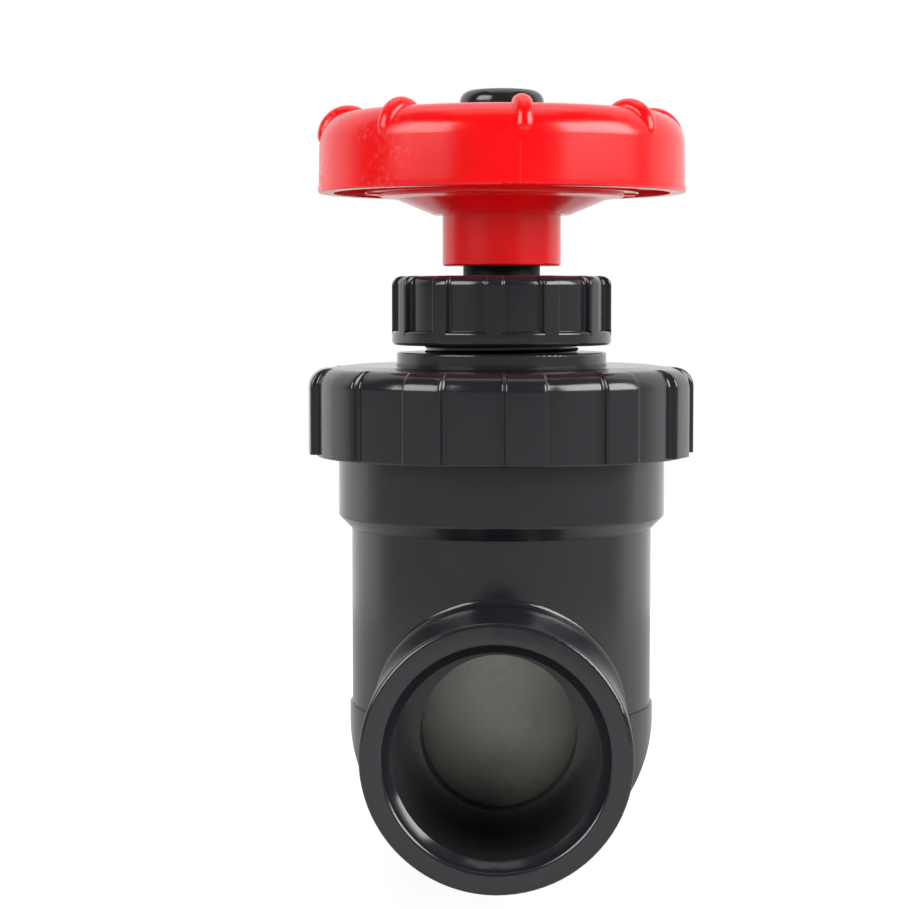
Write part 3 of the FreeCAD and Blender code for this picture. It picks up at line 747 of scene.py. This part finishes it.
def finish_piece(obj, body, material, nodes, smoothing):
    """Closes a piece, smooths it, and puts it on its body in place of its CAD nodes."""
    if obj.mode != "EDIT":
        select_only(obj)
        bpy.ops.object.mode_set(mode="EDIT")
    close_piece()
    bpy.ops.object.mode_set(mode="OBJECT")
    select_only(obj)
    bpy.ops.object.shade_smooth_by_angle(angle=smoothing)
    settle_normals(obj)
    obj.data.materials.clear()
    obj.data.materials.append(material)
    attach(obj, body)
    if nodes:
        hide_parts(*nodes)


# Pieces

FRONT = -math.pi / 2
BONNET_PAD_STEPS = 4
GLAND_PAD_STEPS = 3
MOUTH_SLACK = 0.1 * MM
RIM_EDGE = 0.4 * MM
CROWN_EDGE = 6 * MM
BAND_EDGE = 0.7 * MM
GLAND_HOLE_EDGE = 0.3 * MM
GROOVE_OVERCUT = 0.3 * MM
CROWN_SLACK = 1 * MM
# Heights of a thread's section, as shares of its pitch
GROOVE_AT_ROOT = (0.15, 0.41)
GROOVE_AT_MOUTH = (0.0, 0.56)
RIDGE_AT_ROOT = (0.02, 0.98)
RIDGE_AT_CREST = (0.44, 0.56)


def body_piece(settings, material):
    """The moulded body, with a narrower and rounder lip at both socket mouths."""
    body = merged_copy("valve_body", "moulded_body")

    def on_mouth(point, radius):
        off_bore = math.hypot(point.x, point.z - settings.bore_height)
        at_mouth = abs(abs(point.y) - settings.mouth) < SAME_PLACE
        return at_mouth and abs(off_bore - radius) < MOUTH_SLACK

    pick(body, "VERT", lambda vertex: on_mouth(vertex.co, settings.chamfer))
    shrink = settings.lip / settings.chamfer
    centre = (0, 0, settings.bore_height)
    bpy.ops.transform.resize(value=(shrink, 1, shrink), center_override=centre)
    pick(body, "EDGE", lambda edge: all(on_mouth(v.co, settings.lip) for v in edge.verts))
    round_edges(settings.lip_edge)
    finish_piece(body, "valve", material, ["valve_body"], COPY_SMOOTHING)


def pad_bearing(settings, pad_steps):
    """The bearing at which the first pad starts."""
    return FRONT + settings.pad_start - pad_steps * math.pi / SPIN_STEPS


def raise_pads(nut, settings, pad_steps, low, inner):
    """Raises grip pads on a nut's wall, above a height and outside a radius."""
    start = pad_bearing(settings, pad_steps)
    between = FULL_TURN / settings.pads
    width = pad_steps * FULL_TURN / SPIN_STEPS
    stretch = 1 + settings.pad_height / settings.radius

    def past_start(point):
        return (math.atan2(point.y, point.x) - start) % between

    def on_pad(face):
        middle = face.calc_center_median()
        return off_axis(middle) > inner and middle.z > low and past_start(middle) < width

    def beside_pad(point):
        place = past_start(point)
        return min(place, between - place, abs(place - width)) < SAME_BEARING

    def pad_side(edge):
        first, last = (vertex.co for vertex in edge.verts)
        upright = abs(first.z - last.z) > SAME_PLACE
        outside = min(off_axis(first), off_axis(last)) > inner
        above = min(first.z, last.z) > low - SAME_PLACE
        return upright and outside and above and beside_pad(first) and beside_pad(last)

    pick(nut, "FACE", on_pad)
    bpy.ops.mesh.extrude_region_move()
    bpy.ops.transform.resize(value=(stretch, stretch, 1), center_override=ON_AXIS)
    pick(nut, "EDGE", pad_side)
    round_edges(settings.pad_edge)


def bonnet_nut_piece(settings, material):
    """The union nut: a softly crowned cap nut with pads that run over its shoulder."""
    corners = [
        (settings.bore, settings.low, 0.0),
        (settings.radius, settings.low, RIM_EDGE),
        (settings.radius, settings.top - settings.crown_fall, settings.shoulder),
        (settings.crown, settings.top, CROWN_EDGE),
        (settings.hole, settings.top, RIM_EDGE),
        (settings.hole, settings.roof, 0.0),
        (settings.bore, settings.roof, 0.0),
    ]
    nut = turned_piece("union_nut", corners, pad_bearing(settings, BONNET_PAD_STEPS))
    inner = (settings.crown + settings.radius) / 2 - CROWN_SLACK
    raise_pads(nut, settings, BONNET_PAD_STEPS, settings.low + RIM_EDGE, inner)
    finish_piece(nut, "valve", material, ["bonnet_nut"], NUT_SMOOTHING)


def gland_nut_piece(settings, material):
    """The packing nut: a low cap nut with short pads above a plain band."""
    foot = settings.band_top + settings.cove
    corners = [
        (settings.bore, settings.low, 0.0),
        (settings.band, settings.low, BAND_EDGE),
        (settings.band, settings.band_top, settings.ledge),
        (settings.radius, foot, 0.0),
        (settings.radius, settings.top, settings.shoulder),
        (settings.hole, settings.top, GLAND_HOLE_EDGE),
        (settings.hole, settings.roof, 0.0),
        (settings.bore, settings.roof, 0.0),
    ]
    nut = turned_piece("packing_nut", corners, pad_bearing(settings, GLAND_PAD_STEPS))
    raise_pads(nut, settings, GLAND_PAD_STEPS, foot, settings.radius - settings.shoulder)

    def pad_foot(vertex):
        return abs(vertex.co.z - foot) < SAME_PLACE and off_axis(vertex.co) > settings.band

    pick(nut, "VERT", pad_foot)
    bpy.ops.transform.translate(value=(0, 0, -settings.pad_foot))
    finish_piece(nut, "valve", material, ["gland_nut"], NUT_SMOOTHING)


def neck_thread_piece(settings, material):
    """The screw thread on the bonnet's neck, which the packing nut runs on."""
    corners = thread_corners(settings, settings.crest, RIDGE_AT_ROOT, RIDGE_AT_CREST)
    thread = thread_piece("neck_thread", corners, settings, RIGHT_HAND)
    finish_piece(thread, "valve", material, [], NUT_SMOOTHING)


def stem_piece(settings, material):
    """The stem, with a left-hand thread cut into its foot."""
    outer = settings.crest + GROOVE_OVERCUT
    corners = thread_corners(settings, outer, GROOVE_AT_ROOT, GROOVE_AT_MOUTH)
    groove = thread_piece("stem_groove", corners, settings, LEFT_HAND)
    close_piece()
    bpy.ops.object.mode_set(mode="OBJECT")
    stem = merged_copy("stem", "threaded_stem")
    bpy.ops.object.mode_set(mode="OBJECT")
    cut_away(stem, groove)
    finish_piece(stem, "spindle", material, ["stem"], COPY_SMOOTHING)


# Studio

TOP_PLACE = (0, 0.1, 1.2)
TOP_WIDTH = 0.8
# Heights (table) and depths (backdrop) of a ray's direction at which the light changes
TABLE_EDGE = (-0.035, 0.05)
BACKDROP_EDGE = (0.05, 0.45)
BACKDROP_SEEN = 0.3
WHITE = (1.0, 1.0, 1.0, 1.0)
FLOOR_PAINT = (0.62, 0.62, 0.62, 1.0)
FLOOR_SHADE = (0.40, 0.40, 0.40, 1.0)
FLOOR_GLOW = 0.80
FLOOR_CORNERS = 96
SENSOR_WIDTH = 36.0
NEAREST = 0.01
FARTHEST = 50.0


def add_softbox(name, location, target, width, height, power):
    """Adds one rectangular area lamp that faces a point."""
    bpy.ops.object.light_add(type="AREA", location=location)
    lamp = bpy.context.object
    lamp.name = name
    lamp.data.shape = "RECTANGLE"
    lamp.data.size = width
    lamp.data.size_y = height
    lamp.data.energy = power
    direction = Vector(target) - lamp.location
    lamp.rotation_euler = direction.to_track_quat("-Z", "Y").to_euler()
    lamp.visible_camera = False


def add_lamps(settings):
    """Two softboxes beside the camera and a weaker one overhead."""
    height = settings.softbox_height
    middle = settings.softbox_base + height / 2
    sides = (
        ("softbox_left", -settings.left_angle, settings.left_width, settings.left_brightness),
        ("softbox_right", settings.right_angle, settings.right_width, settings.right_brightness),
    )
    for name, bearing, width, brightness in sides:
        x = math.sin(bearing) * settings.softbox_distance
        y = -math.cos(bearing) * settings.softbox_distance
        power = brightness * width * height
        add_softbox(name, (x, y, middle), (0, 0, middle), width, height, power)
    add_softbox("softbox_top", TOP_PLACE, ON_AXIS, TOP_WIDTH, TOP_WIDTH, settings.top_power)


def light_room(settings):
    """A white backdrop behind the valve and a dim room on the camera's side."""
    world = bpy.data.worlds.new("studio")
    bpy.context.scene.world = world
    tree = new_tree(world)
    direction = add_node(tree, "ShaderNodeTexCoord", "Direction").outputs["Generated"]
    axes = add_node(tree, "ShaderNodeSeparateXYZ", "Axes", values={"Vector": direction}).outputs
    room_ends = (*TABLE_EDGE, settings.table_light, settings.room_light)
    room = remap(tree, axes["Z"], *room_ends, "Table to room")
    side_ends = (*BACKDROP_EDGE, room, settings.backdrop_light)
    side = remap(tree, axes["Y"], *side_ends, "Room to backdrop")
    ray = add_node(tree, "ShaderNodeLightPath", "Ray").outputs
    seen = maths(tree, "MAXIMUM", "White where seen", ray["Is Camera Ray"], side)
    bounced = (ray["Is Glossy Ray"], ray["Is Transmission Ray"])
    mirrored = maths(tree, "MAXIMUM", "Mirrored or seen through", *bounced)
    behind = maths(tree, "GREATER_THAN", "Behind the valve", axes["Y"], BACKDROP_SEEN)
    back = maths(tree, "MULTIPLY", "White backdrop", mirrored, behind)
    white = maths(tree, "MAXIMUM", "White for these rays", seen, back)
    values = {"Color": WHITE, "Strength": white}
    light = add_node(tree, "ShaderNodeBackground", "Background", values=values)
    add_output(tree, "ShaderNodeOutputWorld", light.outputs["Background"])


def floor_finish():
    """A matt white floor that reads white to the camera but keeps a soft shadow."""
    material = bpy.data.materials.new("pale_floor")
    tree = new_tree(material)
    paint = add_node(tree, "ShaderNodeBsdfDiffuse", "Paint", values={"Color": FLOOR_PAINT})
    shade = add_node(tree, "ShaderNodeBsdfDiffuse", "Soft shadow", values={"Color": FLOOR_SHADE})
    glow_values = {"Strength": FLOOR_GLOW}
    glow = add_node(tree, "ShaderNodeEmission", "White for the camera", values=glow_values)
    seen = add_node(tree, "ShaderNodeAddShader", "White with a soft shadow")
    feed(tree, seen.inputs[0], shade.outputs["BSDF"])
    feed(tree, seen.inputs[1], glow.outputs["Emission"])
    camera_ray = add_node(tree, "ShaderNodeLightPath", "Ray").outputs["Is Camera Ray"]
    mix = add_node(tree, "ShaderNodeMixShader", "Camera or light", values={"Fac": camera_ray})
    feed(tree, mix.inputs[1], paint.outputs["BSDF"])
    feed(tree, mix.inputs[2], seen.outputs["Shader"])
    add_output(tree, "ShaderNodeOutputMaterial", mix.outputs["Shader"])
    return material


def add_floor(settings):
    """The pale floor under the valve."""
    radius = settings.floor_radius
    bpy.ops.mesh.primitive_circle_add(vertices=FLOOR_CORNERS, radius=radius, fill_type="NGON")
    floor = bpy.context.object
    floor.name = "floor"
    floor.data.materials.append(floor_finish())


def add_camera(settings):
    """The camera at the photograph's place."""
    location = (settings.camera_x, settings.camera_y, settings.camera_z)
    rotation = (math.pi / 2 - settings.pitch, 0, settings.yaw)
    bpy.ops.object.camera_add(location=location, rotation=rotation)
    camera = bpy.context.object
    camera.data.lens = settings.lens
    camera.data.sensor_width = SENSOR_WIDTH
    camera.data.clip_start = NEAREST
    camera.data.clip_end = FARTHEST
    bpy.context.scene.camera = camera


# Operators

class GATEVALVE_OT_grey_pieces(bpy.types.Operator):
    """Give the bonnet and the wheel's cap the grey plastic"""

    bl_idname = "gate_valve.grey_pieces"
    bl_label = "Bonnet and cap"

    def execute(self, context):
        dress(["bonnet", "wheel_cap"], grey_plastic(context.scene.gate_valve_finish))
        return {"FINISHED"}


class GATEVALVE_OT_body(bpy.types.Operator):
    """Model the moulded body's socket mouths and give it its grey plastic"""

    bl_idname = "gate_valve.body"
    bl_label = "Body"

    def execute(self, context):
        material = grey_plastic(context.scene.gate_valve_finish)
        body_piece(context.scene.gate_valve_body, material)
        return {"FINISHED"}


class GATEVALVE_OT_bonnet_nut(bpy.types.Operator):
    """Model the union nut with its twelve grip pads"""

    bl_idname = "gate_valve.bonnet_nut"
    bl_label = "Bonnet nut"

    def execute(self, context):
        material = grey_plastic(context.scene.gate_valve_finish)
        bonnet_nut_piece(context.scene.gate_valve_bonnet_nut, material)
        return {"FINISHED"}


class GATEVALVE_OT_neck_thread(bpy.types.Operator):
    """Model the screw thread on the bonnet's neck, black as painted shade in the gap under the
    packing nut
    """

    bl_idname = "gate_valve.neck_thread"
    bl_label = "Neck thread"

    def execute(self, context):
        # The neck thread is black as painted shade, standing in for the deep shadow between the
        # packing nut and the bonnet's ring
        black = tuple(context.scene.gate_valve_finish.rubber)
        material = plastic("greased_thread", black, THREAD_SHADE_ROUGHNESS, THREAD_SHADE_SPECULAR)
        neck_thread_piece(context.scene.gate_valve_neck_thread, material)
        return {"FINISHED"}


class GATEVALVE_OT_gland_nut(bpy.types.Operator):
    """Model the packing nut with its twelve short pads"""

    bl_idname = "gate_valve.gland_nut"
    bl_label = "Gland nut"

    def execute(self, context):
        material = grey_plastic(context.scene.gate_valve_finish)
        gland_nut_piece(context.scene.gate_valve_gland_nut, material)
        return {"FINISHED"}


class GATEVALVE_OT_handwheel(bpy.types.Operator):
    """Give the handwheel its red plastic"""

    bl_idname = "gate_valve.handwheel"
    bl_label = "Handwheel"

    def execute(self, context):
        dress(["handwheel"], red_plastic(context.scene.gate_valve_finish))
        return {"FINISHED"}


class GATEVALVE_OT_gate(bpy.types.Operator):
    """Give the gate its beige plastic"""

    bl_idname = "gate_valve.gate"
    bl_label = "Gate"

    def execute(self, context):
        dress(["gate_plug"], gate_plastic(context.scene.gate_valve_finish))
        return {"FINISHED"}


class GATEVALVE_OT_stem(bpy.types.Operator):
    """Model the stem with its left-hand thread"""

    bl_idname = "gate_valve.stem"
    bl_label = "Stem"

    def execute(self, context):
        black = tuple(context.scene.gate_valve_finish.stem)
        material = plastic("stem_plastic", black, STEM_ROUGHNESS, STEM_SPECULAR)
        stem_piece(context.scene.gate_valve_stem_thread, material)
        return {"FINISHED"}


class GATEVALVE_OT_seals(bpy.types.Operator):
    """Give the seals, the packing and the washers their finishes"""

    bl_idname = "gate_valve.seals"
    bl_label = "Seals and washers"

    def execute(self, context):
        finish = context.scene.gate_valve_finish
        rubber = plastic("seal_rubber", tuple(finish.rubber), RUBBER_ROUGHNESS)
        dress(["gate_seal_front", "gate_seal_rear", "bonnet_o_ring"], rubber)
        packing = plastic("stem_packing", tuple(finish.packing), PACKING_ROUGHNESS)
        dress(["packing_ring_1", "packing_ring_2", "packing_ring_3"], packing)
        washer = plastic("washer_plastic", tuple(finish.washer), WASHER_ROUGHNESS)
        dress(["thrust_washer_lower", "thrust_washer_upper", "gland_follower"], washer)
        return {"FINISHED"}


class GATEVALVE_OT_metal_pieces(bpy.types.Operator):
    """Give the stem nut, the spring rings and the wheel screw their metals"""

    bl_idname = "gate_valve.metal_pieces"
    bl_label = "Metal pieces"

    def execute(self, context):
        finish = context.scene.gate_valve_finish
        brass = machined_metal("nut_brass", tuple(finish.brass), BRASS_ROUGHNESS)
        dress(["gate_nut"], brass)
        steel = machined_metal("bright_steel", tuple(finish.steel), STEEL_ROUGHNESS)
        dress(["gate_nut_circlip", "stem_retainer_ring"], steel)
        dress(["wheel_washer", "wheel_screw"], steel)
        return {"FINISHED"}


class GATEVALVE_OT_studio(bpy.types.Operator):
    """Add the pale floor, the backdrop's light, the softboxes and the camera"""

    bl_idname = "gate_valve.studio"
    bl_label = "Studio"

    def execute(self, context):
        settings = context.scene.gate_valve_studio
        add_floor(settings)
        light_room(settings)
        add_lamps(settings)
        add_camera(settings)
        context.scene.view_settings.view_transform = "Standard"
        return {"FINISHED"}


class GATEVALVE_PT_pieces(bpy.types.Panel):
    """Buttons for every group of pieces, with their settings"""

    bl_idname = "GATEVALVE_PT_pieces"
    bl_label = "Gate valve"
    bl_space_type = "VIEW_3D"
    bl_region_type = "UI"
    bl_category = "Gate valve"

    def draw(self, context):
        layout = self.layout
        for operator in OPERATORS:
            layout.operator(operator.bl_idname)
        for setting in SETTINGS:
            group = getattr(context.scene, setting)
            box = layout.box()
            for name in group.bl_rna.properties.keys():
                if name not in ("rna_type", "name"):
                    box.prop(group, name)


OPERATORS = (
    GATEVALVE_OT_body,
    GATEVALVE_OT_grey_pieces,
    GATEVALVE_OT_bonnet_nut,
    GATEVALVE_OT_neck_thread,
    GATEVALVE_OT_gland_nut,
    GATEVALVE_OT_handwheel,
    GATEVALVE_OT_gate,
    GATEVALVE_OT_stem,
    GATEVALVE_OT_seals,
    GATEVALVE_OT_metal_pieces,
    GATEVALVE_OT_studio,
)
SETTINGS = {
    "gate_valve_finish": FinishSettings,
    "gate_valve_body": BodySettings,
    "gate_valve_bonnet_nut": BonnetNutSettings,
    "gate_valve_stem_thread": StemThreadSettings,
    "gate_valve_neck_thread": NeckThreadSettings,
    "gate_valve_gland_nut": GlandNutSettings,
    "gate_valve_studio": StudioSettings,
}


def register():
    """Registers the classes and their settings."""
    for cls in (*SETTINGS.values(), *OPERATORS, GATEVALVE_PT_pieces):
        bpy.utils.register_class(cls)
    for name, group in SETTINGS.items():
        setattr(bpy.types.Scene, name, PointerProperty(type=group))


def unregister():
    """Takes the classes and their settings out again."""
    for name in SETTINGS:
        delattr(bpy.types.Scene, name)
    for cls in (GATEVALVE_PT_pieces, *reversed(OPERATORS), *reversed(SETTINGS.values())):
        bpy.utils.unregister_class(cls)


def main():
    """Dresses the valve and sets up the studio."""
    register()
    for operator in OPERATORS:
        category, name = operator.bl_idname.split(".")
        getattr(getattr(bpy.ops, category), name)()


if __name__ == "__main__":
    main()
